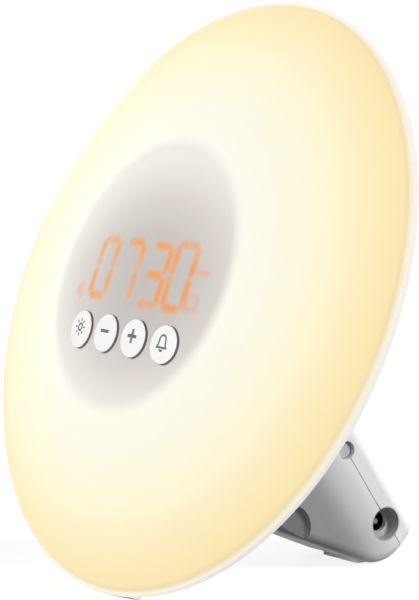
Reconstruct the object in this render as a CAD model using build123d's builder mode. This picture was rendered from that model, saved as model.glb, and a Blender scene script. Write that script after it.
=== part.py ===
from build123d import *
import os
from math import copysign, cos, hypot, radians, sin, tan

# Sunrise alarm clock: a tilted round lamp with a domed diffuser, a shallow bowl behind it and one
# wedge-shaped leg. Millimetres, +Z up, the clock faces -Y and +X is on the right of its face.
# The origin is on the ground, in the middle of the front foot.

os.makedirs("parts", exist_ok=True)

# ---------------------------------------------------------------- lamp: disc, bowl and diffuser
tilt = 22.0  # the disc leans back by this angle
rim_radius = 94.0
rim_width = 1.9
rim_lip = 0.6  # ring in front, round the diffuser's edge
rim_ground_gap = 0.3  # the rim hangs this far over the ground, the foot carries it
wall = 2.0
fine_gap = 0.1  # between pieces that seat in one another
dome_height = 22.3
dome_fullness = 1.21  # 1 is a paraboloid, 2 is an ellipsoid
diffuser_wall = 2.2
diffuser_edge = 1.1  # depth of the diffuser's edge in its rebate
bowl_depth = 18.0
bowl_fullness = 1.11
bowl_step = 1.4  # the rim stands proud of the bowl by this much

# ---------------------------------------------------------------- leg
leg_reach = 97.3  # how far its end lies behind the rim's front
leg_half_width = 17.0
leg_rake = 33.7  # the leg's back falls away from the disc's axis by this angle
leg_end_height = 14.8
leg_end_lean = 6.0  # the end's foot lies this far nearer to the rim than its top
leg_under_share = 0.89  # radius of the end's lower corner, as a share of its height
leg_back_share = 0.225  # the same of its upper corner
leg_edge_radius = 3.5
leg_straight_depth = 18.5  # the flanks are upright to this depth, then turn in
leg_turn_angle = 13.0
leg_turn_radius = 40.0
keel_half_width = 3.0  # the section is drawn down to this half width, below the leg's underside
seam_margin = 3.8  # the parting line lies this far under the rounded edge
seam_width = 0.4  # shadow gap along the parting line
seam_depth = 0.6
scoop_height = 17.6
scoop_rise = 0.5  # middle of the scoop above the leg's underside
scoop_end = 59.5  # how far behind the rim the scoop's round end lies
scoop_floor = 12.5  # half distance between the two scoops' floors
scoop_floor_radius = 2.0
foot_proud = 0.8
foot_length = 18.0
foot_width = 6.0
foot_thickness = 1.9
front_foot_depth = 3.8
front_foot_half_angle = 8.0

# ---------------------------------------------------------------- front buttons
button_radius = 5.85
button_pitch = 14.44
button_row = -20.3  # below the disc's middle
button_proud = 0.8  # the caps' faces follow the dome, this far above it
button_edge = 0.4
button_gap = 0.3
button_flange = 1.1  # radial
flange_thickness = 0.8
flange_gap = 0.3
cap_wall = 1.3
stem_radius = 1.6
press_travel = 0.5
button_names = ["light", "minus", "plus", "alarm"]

# ---------------------------------------------------------------- boards, display and lamp ring
board_thickness = 1.6
board_radius = 43.2
board_front = 9.3  # in front of the rim plane
shield_inner = 39.8
shield_wall = 1.4
digit_height = 20.0
digit_width = 10.4
segment_width = 1.9
segment_gap = 0.5
segment_depth = 1.2
digit_centres = [-19.0, -5.8, 8.2, 20.0]
display_side_margin = 6.0
display_end_margin = 2.4
display_gap = 0.8  # between the display block's corners and the diffuser
colon_rise = 3.6
chip_place = (13.0, 10.0)
chip_size = 10.0
chip_corner = 0.4
chip_height = 1.4
capacitor_place = (-15.0, 10.0)
capacitor_radius = 5.0
capacitor_height = 9.0
capacitor_edge = 0.6
header_row = -23.0
header_width = 12.0
header_height = 6.0
header_depth = 5.0
plug_width = 10.5
plug_height = 4.8
plug_depth = 5.0
switch_size = 6.2
switch_height = 3.5
terminal_length = 1.4
terminal_width = 0.8
terminal_height = 0.3
terminal_pitch = 4.3
plunger_radius = 1.75
plunger_gap = 0.08
plunger_proud = 0.8
plunger_length = 1.5
reflector_inner = 44.4
reflector_flat = 58.0
reflector_margin = 10.0  # from the rim's edge to the reflector's
reflector_wall = 1.4
reflector_front = 4.0
reflector_edge = 0.6
reflector_screw_radius = 66.0
reflector_screw_angles = [45, 135, 225, 315]
ring_board_width = 10.0
ring_board_thickness = 1.0
emitter_count = 18
emitter_size = 5.0
emitter_height = 1.6

# ---------------------------------------------------------------- fasteners
screw_radius = 1.25
screw_head_radius = 2.5
screw_head_height = 1.6
screw_length = 8.0
pilot_depth = 9.0
thread_gap = 0.05
hole_gap = 0.2
boss_radius = 3.0
lug_radius = 4.2
lug_height = 1.6
board_screw_places = [(-27.0, 24.0), (27.0, 24.0), (-13.0, -33.5), (13.0, -33.5)]
leg_screw_inset = 7.0  # upper pair, from the flanks
leg_screw_row = -16.0
leg_screw_rise = 8.4  # lower one, above the leg's underside
leg_boss_length = 12.0
web_thickness = 1.6
jack_board_screw_places = [(-8.0, 13.0), (8.0, 28.0)]
cover_screw_places = [46.5, 84.0]
cover_screw_length = 5.0
cover_boss_radius = 3.6
cover_boss_recess = 2.6  # the head's seat, below the leg's back
bulkhead_thickness = 3.0
bulkhead_height = 9.0
clip_screw_radius = 0.9
clip_screw_length = 2.4
clip_post_radius = 1.8

# ---------------------------------------------------------------- power socket, side button, leads
socket_along = 9.8  # from the leg's end, along its back
socket_depth = 8.3  # below the leg's back
recess_radius = 5.1
recess_length = 3.8
recess_wall = 1.6
recess_floor = 1.4
socket_radius = 3.05
socket_pin_radius = 1.05
socket_pin_setback = 1.0
socket_bore_length = 9.5
socket_body_length = 14.0
socket_body_width = 9.2
socket_body_above = 4.0
key_along = 38.9
key_radius = 2.6
key_gap = 0.3
key_setback = 1.4
key_guide_wall = 1.4
key_guide_length = 3.6
key_flange = 0.7
key_switch_width = 6.0
key_switch_thickness = 4.0
key_switch_face = 8.0
key_plunger_radius = 1.3
key_stem_radius = 1.2
jack_board_below = 5.4  # its upper face, below the socket's axis
jack_board_gap = 3.5  # to the leg's inner wall
jack_board_start = 5.5
jack_board_end = 43.0
jack_board_thickness = 1.2
lead_radius = 1.1
lead_spread = 2.5
lead_bend = 6.0
lead_end_bend = 4.0
lead_straight = 5.0
lead_rise = 9.0  # how far a lead runs into the leg before it turns
lead_gate_back = 6.0  # where the leads cross to the bowl, behind it
lead_hole_radius = 6.5
lead_hole_row = -28.0
power_lead_place = (-6.0, 36.0)
lamp_lead_radius = 0.5
lamp_lead_bend = 1.0
lamp_lead_rise = 2.0
lamp_lead_inset = 1.8

# ---------------------------------------------------------------- speaker
speaker_along = 64.5
speaker_rim_width = 2.7  # flange and surround, outside the cone
gasket_thickness = 1.0
gasket_width = 2.2
basket_depth = 5.5
basket_wall = 0.8
cone_gap = 0.5
cone_thickness = 0.5
cone_edge_depth = 0.2  # its edge lies this far behind the flange's front
coil_radius = 4.2
coil_wall = 0.5
coil_overlap = 1.5  # the coil reaches this far into the magnet
magnet_radius = 7.5
magnet_depth = 4.0
tab_width = 5.0
tab_length = 4.0
tab_reach = 3.0  # middle of the terminal tab, beyond the magnet
grille_margin = 0.3  # the slots end this far inside the cone
slot_width = 1.5
slot_pitch = 3.0

# ---------------------------------------------------------------- places worked out from the sizes
lean_cos = cos(radians(tilt))
lean_sin = sin(radians(tilt))
diffuser_radius = rim_radius - rim_lip - fine_gap
bowl_radius = rim_radius - bowl_step
ledge_radius = bowl_radius - wall
bowl_back = rim_width + bowl_depth

# Front foot: its flat lies on the ground, and its middle is the origin.
reflector_outer = rim_radius - reflector_margin
centre_height = rim_radius * lean_cos + rim_width * lean_sin + rim_ground_gap
foot_middle = rim_width + front_foot_depth / 2
foot_drop = (centre_height - foot_middle * lean_sin) / lean_cos
centre_back = foot_drop * lean_sin - foot_middle * lean_cos
centre = (0, centre_back, centre_height)

# disc: x to the right, y up the disc, z forwards along its axis.
# radial: x outwards, y forwards. side: x backwards, y up the disc, z to the right.
disc = Plane(origin=centre, x_dir=(1, 0, 0), z_dir=(0, -lean_cos, lean_sin))
radial = Plane(origin=centre, x_dir=(1, 0, 0), z_dir=(0, -lean_sin, -lean_cos))
side = Plane(origin=centre, x_dir=(0, lean_cos, -lean_sin), z_dir=(1, 0, 0))
disc_axis = Axis(centre, tuple(disc.z_dir))

# The leg's end rests just over the ground, which sets its underside and the height of its back.
end_round = leg_under_share * leg_end_height
back_round = leg_back_share * leg_end_height
end_length = hypot(leg_end_lean, leg_end_height)
end_middle_back = (
    leg_reach - leg_end_lean - end_round * (end_length - leg_end_lean) / leg_end_height
)
end_middle_rise = (
    end_round + foot_proud - centre_height + end_middle_back * lean_sin
) / lean_cos
leg_under = end_middle_rise - end_round
leg_corner_rise = leg_under + leg_end_height
rake_cos = cos(radians(leg_rake))
rake_sin = sin(radians(leg_rake))
corner = side.from_local_coords((leg_reach, leg_corner_rise, 0))
down_leg = disc.z_dir * -rake_cos + disc.y_dir * -rake_sin
into_leg = disc.y_dir * -rake_cos + disc.z_dir * rake_sin

# back: x to the right, y up the leg's back, z into the leg. flank: x up the back, y into the leg.
# across: the leg's cross-section, x to the right, y into the leg.
back = Plane(origin=corner, x_dir=(1, 0, 0), z_dir=into_leg)
flank = Plane(origin=corner, x_dir=down_leg * -1, z_dir=(1, 0, 0))
across = Plane(origin=corner, x_dir=(1, 0, 0), z_dir=down_leg)
ground = Plane.XY
cover_depth = leg_edge_radius + seam_margin  # the parting line, below the leg's back
speaker_radius = leg_half_width - leg_edge_radius
cone_radius = speaker_radius - speaker_rim_width
grille_radius = cone_radius - grille_margin
jack_board_half_width = leg_half_width - wall - jack_board_gap
jack_board_depth = socket_depth + jack_board_below
leg_screw_side = leg_half_width - leg_screw_inset
leg_screw_places = [
    (-leg_screw_side, leg_screw_row),
    (leg_screw_side, leg_screw_row),
    (0, leg_under + leg_screw_rise),
]
far = 200.0  # longer than anything in the clock


def bulge(radius, height, fullness, reach):
    """Height of a dome of the given rim radius at a distance from its axis."""
    return height * (1 - (reach / radius) ** 2) ** (1 / fullness)


def dome_curve(radius, height, fullness, base, sign):
    """Points from the middle to the edge of a dome, as (distance, place along the axis)."""
    steps = [0, 0.25, 0.5, 0.7, 0.85, 0.95, 1]
    return [(radius * s, base + sign * bulge(radius, height, fullness, radius * s)) for s in steps]


def outer_dome(reach):
    return bulge(diffuser_radius, dome_height, dome_fullness, reach)


def inner_dome(reach):
    inner_radius = diffuser_radius - diffuser_wall
    return bulge(inner_radius, dome_height - diffuser_wall, dome_fullness, reach)


def bowl_outside(reach):
    return -rim_width - bulge(bowl_radius, bowl_depth, bowl_fullness, reach)


def bowl_inside(reach):
    height = bowl_back - wall - diffuser_edge
    return -diffuser_edge - bulge(ledge_radius, height, bowl_fullness, reach)


def lens(radius, height, fullness, base, sign):
    """Solid cap between a dome and the flat plane at its edge."""
    with BuildPart() as cap:
        with BuildSketch(radial):
            points = dome_curve(radius, height, fullness, base, sign)
            with BuildLine():
                Spline(*points, tangents=[(1, 0), (0.4, -sign)])
                Polyline(points[-1], (0, base), points[0])
            make_face()
        revolve(axis=disc_axis)
    return cap.part


def screw(shank_radius, length):
    """One pan-head screw: its head sits on z = 0 and its shank points to -z."""
    slot = screw_head_radius * 1.2
    with BuildPart() as piece:
        with BuildSketch():
            Circle(screw_head_radius)
        extrude(amount=screw_head_height)
        fillet(piece.edges().group_by(Axis.Z)[-1], screw_head_height * 0.4)
        with BuildSketch():
            Circle(shank_radius)
        extrude(amount=-length)
        with BuildSketch(Plane.XY.offset(screw_head_height)):
            Rectangle(slot, slot / 4)
            Rectangle(slot / 4, slot)
        extrude(amount=-screw_head_height * 0.5, mode=Mode.SUBTRACT)
    return piece.part


def screw_set(seat, places, shank_radius, length):
    """The same screw at several places of a plane, which its heads sit on."""
    one = screw(shank_radius, length)
    with BuildPart() as group:
        for x, y in places:
            add(seat.location * Pos(x, y) * one)
    return group.part


def tube(points, bends, radius):
    """A lead along straight runs joined by arcs."""
    with BuildLine() as route:
        FilletPolyline(*points, radius=bends)
    with BuildPart() as lead:
        start = route.line @ 0
        with BuildSketch(Plane(origin=start, z_dir=route.line % 0)):
            Circle(radius)
        sweep(path=route.line)
    return lead.part


def save(part, label):
    part.label = label
    export_step(part, f"parts/{label}.step")


# ---------------------------------------------------------------- shared shapes
dome_room = lens(diffuser_radius - diffuser_wall, dome_height - diffuser_wall, dome_fullness, 0, 1)
bowl_solid = lens(bowl_radius, bowl_depth, bowl_fullness, -rim_width, -1)
bowl_envelope = lens(bowl_radius + fine_gap, bowl_depth + fine_gap, bowl_fullness, -rim_width, -1)
bowl_room = lens(ledge_radius, bowl_back - wall - diffuser_edge, bowl_fullness, -diffuser_edge, -1)


def leg_form(inset):
    """The leg's outer form, or the same form with every face moved inwards."""
    start = rim_width
    start_rise = leg_corner_rise + (leg_reach - start) * tan(radians(leg_rake))
    keel_depth = leg_straight_depth + (leg_half_width - keel_half_width) / tan(radians(leg_turn_angle))
    with BuildPart() as form:
        with BuildSketch(side) as outline:
            with BuildLine():
                Polyline(
                    (start, start_rise),
                    (leg_reach, leg_corner_rise),
                    (leg_reach - leg_end_lean, leg_under),
                    (start, leg_under),
                    close=True,
                )
            make_face()
            heel = (leg_reach - leg_end_lean, leg_under)
            fillet(outline.vertices().sort_by_distance(heel)[0], end_round)
            fillet(outline.vertices().sort_by_distance((leg_reach, leg_corner_rise))[0], back_round)
            if inset:
                offset(amount=-inset, mode=Mode.REPLACE)
        extrude(amount=leg_half_width * 2, both=True)
        with BuildSketch(across) as section:
            with BuildLine():
                Polyline(
                    (-leg_half_width, 0),
                    (leg_half_width, 0),
                    (leg_half_width, leg_straight_depth),
                    (keel_half_width, keel_depth),
                    (-keel_half_width, keel_depth),
                    (-leg_half_width, leg_straight_depth),
                    close=True,
                )
            make_face()
            turns = section.vertices().filter_by_position(Axis.Y, leg_straight_depth, leg_straight_depth)
            fillet(turns, leg_turn_radius)
            if inset:
                offset(amount=-inset, mode=Mode.REPLACE)
        extrude(amount=far, both=True, mode=Mode.INTERSECT)
        behind_start = start + inset + fine_gap
        rims = ShapeList()
        for edge in form.edges():
            place = side.to_local_coords(edge.center())
            touching = [f for f in form.faces() if any(edge.is_same(other) for other in f.edges())]
            slopes = sorted(abs(f.normal_at(f.center()).X) for f in touching)
            if place.X > behind_start and len(slopes) == 2 and slopes[0] < 0.3 and slopes[1] > 0.5:
                rims.append(edge)
        fillet(rims, leg_edge_radius - inset)
    return form.part


leg_solid = leg_form(0)
leg_room = leg_form(wall)
leg_seam_floor = leg_form(seam_depth)


def scoop(grow):
    """Both scoops in the leg's flanks, or the walls' outside inside the leg."""
    half = scoop_height / 2 + grow
    rise = leg_under + scoop_rise
    with BuildPart() as cut:
        for hand in (1, -1):
            with BuildSketch(side.offset(hand * (scoop_floor - grow))):
                with Locations((scoop_end - scoop_height / 2, rise)):
                    Circle(half)
                with Locations(((scoop_end - scoop_height / 2) / 2, rise)):
                    Rectangle(scoop_end - scoop_height / 2, half * 2)
            extrude(amount=hand * leg_half_width)
        floors = cut.faces().filter_by(Axis.X).sort_by(lambda f: abs(f.center().X))[:2]
        fillet(floors.edges(), scoop_floor_radius)
    return cut.part


scoops = scoop(0)
scoop_walls = scoop(wall)

# ================================================================ front_diffuser
edge_seat = -diffuser_edge
outer_curve = dome_curve(diffuser_radius, dome_height, dome_fullness, 0, 1)
inner_curve = dome_curve(diffuser_radius - diffuser_wall, dome_height - diffuser_wall, dome_fullness, 0, 1)
button_places = [((i - 1.5) * button_pitch, button_row) for i in range(len(button_names))]

with BuildPart() as front_diffuser:
    with BuildSketch(radial):
        with BuildLine():
            Spline(*outer_curve, tangents=[(1, 0), (0.4, -1)])
            Polyline(
                outer_curve[-1],
                (diffuser_radius, edge_seat),
                (diffuser_radius - diffuser_wall, edge_seat),
                inner_curve[-1],
            )
            Spline(*inner_curve, tangents=[(1, 0), (0.4, -1)])
            Line(inner_curve[0], outer_curve[0])
        make_face()
    revolve(axis=disc_axis)
    with BuildSketch(disc):
        with Locations(*button_places):
            Circle(button_radius + button_gap)
    extrude(amount=dome_height * 2, mode=Mode.SUBTRACT)
save(front_diffuser.part, "front_diffuser")

# ================================================================ rear_housing
board_back = board_front - board_thickness
reflector_bosses = [
    (reflector_screw_radius * cos(radians(a)), reflector_screw_radius * sin(radians(a)))
    for a in reflector_screw_angles
]
reflector_slope = (reflector_front - reflector_edge) / (reflector_outer - reflector_flat)
reflector_screw_front = reflector_front - reflector_slope * (reflector_screw_radius - reflector_flat)
reflector_screw_back = reflector_screw_front - 2 * reflector_wall

with BuildPart() as rear_housing:
    with BuildSketch(radial):
        outside = dome_curve(bowl_radius, bowl_depth, bowl_fullness, -rim_width, -1)
        inside = dome_curve(ledge_radius, bowl_back - wall - diffuser_edge, bowl_fullness, edge_seat, -1)
        with BuildLine():
            Spline(*outside, tangents=[(1, 0), (0.4, 1)])
            Polyline(
                outside[-1],
                (rim_radius, -rim_width),
                (rim_radius, 0),
                (rim_radius - rim_lip, 0),
                (rim_radius - rim_lip, edge_seat),
                inside[-1],
            )
            Spline(*inside, tangents=[(1, 0), (0.4, 1)])
            Line(inside[0], outside[0])
        make_face()
    revolve(axis=disc_axis)
    fillet(rear_housing.edges().filter_by(GeomType.CIRCLE).filter_by(
        lambda e: abs(e.radius - rim_radius) < 0.01), rim_lip * 0.5)
    # posts for the main board and the reflector, rooted in the bowl's wall
    for x, y in board_screw_places:
        with BuildSketch(disc.offset(board_back)):
            with Locations((x, y)):
                Circle(boss_radius)
        extrude(amount=bowl_inside(hypot(x, y)) - wall / 2 - board_back)
    for x, y in reflector_bosses:
        with BuildSketch(disc.offset(reflector_screw_back)):
            with Locations((x, y)):
                Circle(boss_radius)
        extrude(amount=bowl_inside(reflector_screw_radius) - wall / 2 - reflector_screw_back)
    for x, y in leg_screw_places:
        with BuildSketch(disc.offset(bowl_inside(hypot(x, y)) + wall / 2)):
            with Locations((x, y)):
                Circle(boss_radius + wall / 2)
        extrude(amount=-wall)
    # pilot holes, screw holes and the way through for the leads
    with BuildSketch(disc.offset(board_back)):
        with Locations(*board_screw_places):
            Circle(screw_radius + thread_gap)
    extrude(amount=-pilot_depth, mode=Mode.SUBTRACT)
    with BuildSketch(disc.offset(reflector_screw_back)):
        with Locations(*reflector_bosses):
            Circle(screw_radius + thread_gap)
    extrude(amount=-screw_length, mode=Mode.SUBTRACT)
    with BuildSketch(disc.offset(-bowl_back)):
        with Locations(*leg_screw_places):
            Circle(screw_radius + hole_gap)
        with Locations((0, lead_hole_row)):
            Circle(lead_hole_radius)
    extrude(amount=bowl_back, mode=Mode.SUBTRACT)
save(rear_housing.part, "rear_housing")

# ================================================================ rim_foot
with BuildPart() as rim_foot:
    with BuildSketch(radial):
        with Locations((rim_radius - foot_width / 2, -foot_middle)):
            Rectangle(foot_width, front_foot_depth)
    revolve(axis=disc_axis)
    with BuildSketch(disc):
        with Locations((0, -rim_radius)):
            Rectangle(2 * rim_radius * sin(radians(front_foot_half_angle)), rim_radius)
    extrude(amount=-bowl_back, mode=Mode.INTERSECT)
    add(bowl_envelope, mode=Mode.SUBTRACT)
    split(bisect_by=ground, keep=Keep.TOP)
save(rim_foot.part, "rim_foot")

# ================================================================ main_pcb and what it carries
with BuildPart() as main_pcb:
    with BuildSketch(disc.offset(board_back)):
        Circle(board_radius)
        with Locations(*board_screw_places):
            Circle(screw_radius + hole_gap, mode=Mode.SUBTRACT)
    extrude(amount=board_thickness)
save(main_pcb.part, "main_pcb")

with BuildPart() as light_shield:
    with BuildSketch(disc.offset(board_front)):
        Circle(shield_inner + shield_wall)
        Circle(shield_inner, mode=Mode.SUBTRACT)
    extrude(amount=dome_height)
    with BuildSketch(disc.offset(board_front)):
        with Locations(*board_screw_places):
            Circle(lug_radius)
    extrude(amount=lug_height)
    with BuildSketch(disc.offset(board_front)):
        with Locations(*board_screw_places):
            Circle(screw_radius + hole_gap)
    extrude(amount=lug_height, mode=Mode.SUBTRACT)
    room_height = dome_height - diffuser_wall - flange_gap
    add(lens(diffuser_radius - diffuser_wall, room_height, dome_fullness, 0, 1), mode=Mode.INTERSECT)
save(light_shield.part, "light_shield")

board_screw_seat = disc.offset(board_front + lug_height)
board_screw_length = board_thickness + screw_length
board_screws = screw_set(board_screw_seat, board_screw_places, screw_radius, board_screw_length)
save(board_screws, "board_screws")

module_half_width = digit_centres[-1] + digit_width / 2 + display_side_margin
module_half_height = digit_height / 2 + display_end_margin
display_face = inner_dome(hypot(module_half_width, module_half_height)) - display_gap
bar_rise = (digit_height - segment_width) / 2
bar_side = (digit_width - segment_width) / 2
level_bars = [(0, bar_rise), (0, 0), (0, -bar_rise)]
upright_bars = [(x, y) for x in (-bar_side, bar_side) for y in (-bar_rise / 2, bar_rise / 2)]


def bar(length, grow, turn):
    """One segment of a figure, with pointed ends."""
    half, tip = segment_width / 2 + grow, length / 2 + grow
    flat = tip - half
    points = [(-tip, 0), (-flat, half), (flat, half), (tip, 0), (flat, -half), (-flat, -half)]
    Polygon(*points, rotation=turn, align=None)


def figures(grow):
    """All segments of the four figures and the two dots between them."""
    with BuildSketch(disc.offset(display_face)) as faces:
        for middle in digit_centres:
            with Locations(*[(middle + x, y) for x, y in level_bars]):
                bar(2 * bar_side - segment_gap, grow, 0)
            with Locations(*[(middle + x, y) for x, y in upright_bars]):
                bar(bar_rise - segment_gap, grow, 90)
        with Locations(*[((digit_centres[1] + digit_centres[2]) / 2, y) for y in (-colon_rise, colon_rise)]):
            Circle(segment_width / 2 + grow)
    return faces.sketch


with BuildPart() as display_module:
    with BuildSketch(disc.offset(board_front)):
        Rectangle(2 * module_half_width, 2 * module_half_height)
    extrude(amount=display_face - board_front)
    add(figures(0))
    extrude(amount=-segment_depth, mode=Mode.SUBTRACT)
save(display_module.part, "display_module")

with BuildPart() as display_digits:
    add(figures(-thread_gap))
    extrude(amount=-segment_depth)
save(display_digits.part, "display_digits")

with BuildPart() as controller_chip:
    with BuildSketch(disc.offset(board_back)):
        with Locations(chip_place):
            RectangleRounded(chip_size, chip_size, chip_corner)
    extrude(amount=-chip_height)
save(controller_chip.part, "controller_chip")

with BuildPart() as backup_capacitor:
    with BuildSketch(disc.offset(board_back)):
        with Locations(capacitor_place):
            Circle(capacitor_radius)
    extrude(amount=-capacitor_height)
    fillet(backup_capacitor.edges().filter_by(GeomType.CIRCLE), capacitor_edge)
save(backup_capacitor.part, "backup_capacitor")

# ================================================================ front buttons and their switches
plunger_top = board_front + switch_height + plunger_proud
plunger_bottom = plunger_top - plunger_proud - plunger_length

over_dome = lens(diffuser_radius, dome_height, dome_fullness, button_proud, 1)
under_face = lens(diffuser_radius, dome_height, dome_fullness, button_proud - cap_wall, 1)

for name, (x, y) in zip(button_names, button_places):
    flange_front = inner_dome(hypot(x, y) + button_radius + button_flange) - flange_gap
    flange_back = flange_front - flange_thickness

    with BuildPart() as hollow:
        with BuildSketch(disc.offset(flange_back)):
            with Locations((x, y)):
                Circle(button_radius - cap_wall)
                Circle(stem_radius, mode=Mode.SUBTRACT)
        extrude(amount=dome_height)
        add(under_face, mode=Mode.INTERSECT)

    with BuildPart() as cap:
        with BuildSketch(disc.offset(flange_back)):
            with Locations((x, y)):
                Circle(button_radius)
        extrude(amount=dome_height)
        add(over_dome, mode=Mode.INTERSECT)
        fillet(cap.edges().sort_by(disc_axis)[-1], button_edge)
        with BuildSketch(disc.offset(flange_back)):
            with Locations((x, y)):
                Circle(button_radius + button_flange)
        extrude(amount=flange_thickness)
        add(hollow.part, mode=Mode.SUBTRACT)
        with BuildSketch(disc.offset(plunger_top)):
            with Locations((x, y)):
                Circle(stem_radius)
        extrude(amount=flange_back - plunger_top)
    save(cap.part, f"button_{name}")

    with BuildPart() as plunger:
        with BuildSketch(disc.offset(plunger_bottom)):
            with Locations((x, y)):
                Circle(plunger_radius)
        extrude(amount=plunger_top - plunger_bottom)
    save(plunger.part, f"plunger_{name}")

    with BuildPart() as tact_switch:
        with BuildSketch(disc.offset(board_front)):
            with Locations((x, y)):
                Rectangle(switch_size, switch_size)
        extrude(amount=switch_height)
        with BuildSketch(disc.offset(board_front)):
            with Locations((x, y)):
                with GridLocations(switch_size + terminal_length / 2, terminal_pitch, 2, 2):
                    Rectangle(terminal_length, terminal_width)
        extrude(amount=terminal_height)
        with BuildSketch(disc.offset(board_front + switch_height)):
            with Locations((x, y)):
                Circle(plunger_radius + plunger_gap)
        extrude(amount=-(plunger_length + press_travel + fine_gap), mode=Mode.SUBTRACT)
    save(tact_switch.part, f"tact_switch_{name}")

# ================================================================ reflector and lamp ring
collar_outer = reflector_inner + reflector_wall
pad_front = reflector_screw_front + boss_radius * reflector_slope
with BuildPart() as reflector:
    with BuildSketch(radial):
        with BuildLine():
            Polyline(
                (reflector_inner, board_front - plunger_gap),
                (collar_outer, board_front - plunger_gap),
                (collar_outer, reflector_front),
                (reflector_flat, reflector_front),
                (reflector_outer, reflector_edge),
                (reflector_outer, reflector_edge - reflector_wall),
                (reflector_flat, reflector_front - reflector_wall),
                (reflector_inner, reflector_front - reflector_wall),
                close=True,
            )
        make_face()
    revolve(axis=disc_axis)
    with BuildSketch(disc.offset(reflector_screw_back)):
        with Locations(*reflector_bosses):
            Circle(boss_radius)
    extrude(amount=pad_front - reflector_screw_back)
    with BuildSketch(disc.offset(reflector_screw_back)):
        with Locations(*reflector_bosses):
            Circle(screw_radius + hole_gap)
    extrude(amount=pad_front - reflector_screw_back, mode=Mode.SUBTRACT)
save(reflector.part, "reflector")

reflector_screws = screw_set(disc.offset(pad_front), reflector_bosses, screw_radius, screw_length)
save(reflector_screws, "reflector_screws")

ring_board_inner = collar_outer + 2 * hole_gap
ring_board_front = reflector_front + ring_board_thickness
with BuildPart() as led_board:
    with BuildSketch(disc.offset(reflector_front)):
        Circle(ring_board_inner + ring_board_width)
        Circle(ring_board_inner, mode=Mode.SUBTRACT)
    extrude(amount=ring_board_thickness)
save(led_board.part, "led_board")

with BuildPart() as led_emitters:
    with BuildSketch(disc.offset(ring_board_front)):
        with PolarLocations(ring_board_inner + ring_board_width / 2, emitter_count):
            Rectangle(emitter_size, emitter_size)
    extrude(amount=emitter_height)
save(led_emitters.part, "led_emitters")

# ================================================================ leads between the boards
header_front = board_back - header_depth
plug_front = header_front - plug_depth

with BuildPart() as lead_header:
    with BuildSketch(disc.offset(board_back)):
        with Locations((0, header_row)):
            Rectangle(header_width, header_height)
    extrude(amount=-header_depth)
save(lead_header.part, "lead_header")

with BuildPart() as lead_plug:
    with BuildSketch(disc.offset(header_front)):
        with Locations((0, header_row)):
            Rectangle(plug_width, plug_height)
    extrude(amount=-plug_depth)
save(lead_plug.part, "lead_plug")

lamp_lead_over = board_front + lamp_lead_rise
lamp_lead_start = collar_outer + lamp_lead_inset
lamp_lead_end = (board_radius + shield_inner + shield_wall) / 2
lamp_lead = tube(
    [
        disc.from_local_coords((0, lamp_lead_start, ring_board_front)),
        disc.from_local_coords((0, lamp_lead_start, lamp_lead_over)),
        disc.from_local_coords((0, lamp_lead_end, lamp_lead_over)),
        disc.from_local_coords((0, lamp_lead_end, board_front)),
    ],
    lamp_lead_bend,
    lamp_lead_radius,
)
save(lamp_lead, "lamp_lead")

# ================================================================ leg: walls shared by body and lid
with BuildPart() as room:
    add(leg_room)
    add(scoop_walls, mode=Mode.SUBTRACT)

recess_bottom = leg_half_width - recess_length
floor_bottom = recess_bottom - recess_floor
key_guide_end = leg_half_width - key_guide_length

with BuildPart() as leg_walls:
    add(leg_solid)
    add(room.part, mode=Mode.SUBTRACT)
    # collars round the power socket and the side button, cut to the leg's outer form
    with BuildSketch(flank.offset(floor_bottom)):
        with Locations((socket_along, socket_depth)):
            Circle(recess_radius + recess_wall)
    extrude(amount=leg_half_width - floor_bottom)
    with BuildSketch(flank.offset(key_guide_end)):
        with Locations((key_along, cover_depth)):
            Circle(key_radius + key_gap + key_guide_wall)
    extrude(amount=leg_half_width - key_guide_end)
    add(leg_solid, mode=Mode.INTERSECT)
    add(scoops, mode=Mode.SUBTRACT)
    add(bowl_envelope, mode=Mode.SUBTRACT)
    with BuildSketch(flank.offset(recess_bottom)):
        with Locations((socket_along, socket_depth)):
            Circle(recess_radius)
    extrude(amount=leg_half_width, mode=Mode.SUBTRACT)
    with BuildSketch(flank.offset(floor_bottom)):
        with Locations((socket_along, socket_depth)):
            Circle(socket_radius)
    extrude(amount=leg_half_width, mode=Mode.SUBTRACT)
    with BuildSketch(flank.offset(key_guide_end)):
        with Locations((key_along, cover_depth)):
            Circle(key_radius + key_gap)
    extrude(amount=leg_half_width, mode=Mode.SUBTRACT)
    with BuildSketch(flank.offset(key_guide_end)):
        with Locations((key_along, cover_depth)):
            Circle(key_radius + key_flange + key_gap)
    extrude(amount=-key_guide_wall, mode=Mode.SUBTRACT)

parting = back.offset(cover_depth)
foot_middle_y = (
    centre_back
    + (end_middle_back + end_round * lean_sin) * lean_cos
    + (end_middle_rise - end_round * lean_cos) * lean_sin
)

# ================================================================ stand_body
jack_board_back = jack_board_depth + jack_board_thickness
with BuildPart() as inner_posts:
    for x, y in leg_screw_places:
        with BuildSketch(disc.offset(bowl_outside(hypot(x, y)))):
            with Locations((x, y)):
                Circle(boss_radius)
            # a web joins each post to the nearest wall
            if x:
                with Locations(((x + copysign(leg_half_width, x)) / 2, y)):
                    Rectangle(leg_half_width - abs(x), web_thickness)
            else:
                with Locations((x, (y + leg_under) / 2)):
                    Rectangle(web_thickness, y - leg_under)
        extrude(amount=-leg_boss_length)
    with BuildSketch(back.offset(jack_board_back)):
        with Locations(*jack_board_screw_places):
            Circle(boss_radius)
    extrude(amount=far)
    with BuildSketch(parting):
        with Locations((0, cover_screw_places[0])):
            Circle(boss_radius)
    extrude(amount=far)
    with BuildSketch(parting):
        with Locations((0, cover_screw_places[1])):
            Circle(boss_radius)
            Rectangle(leg_half_width * 2, bulkhead_thickness)
    extrude(amount=bulkhead_height)
    add(leg_solid, mode=Mode.INTERSECT)

with BuildPart() as seam:
    with BuildSketch(parting):
        Rectangle(far, far)
    extrude(amount=seam_width)
    add(leg_seam_floor, mode=Mode.SUBTRACT)

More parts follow.
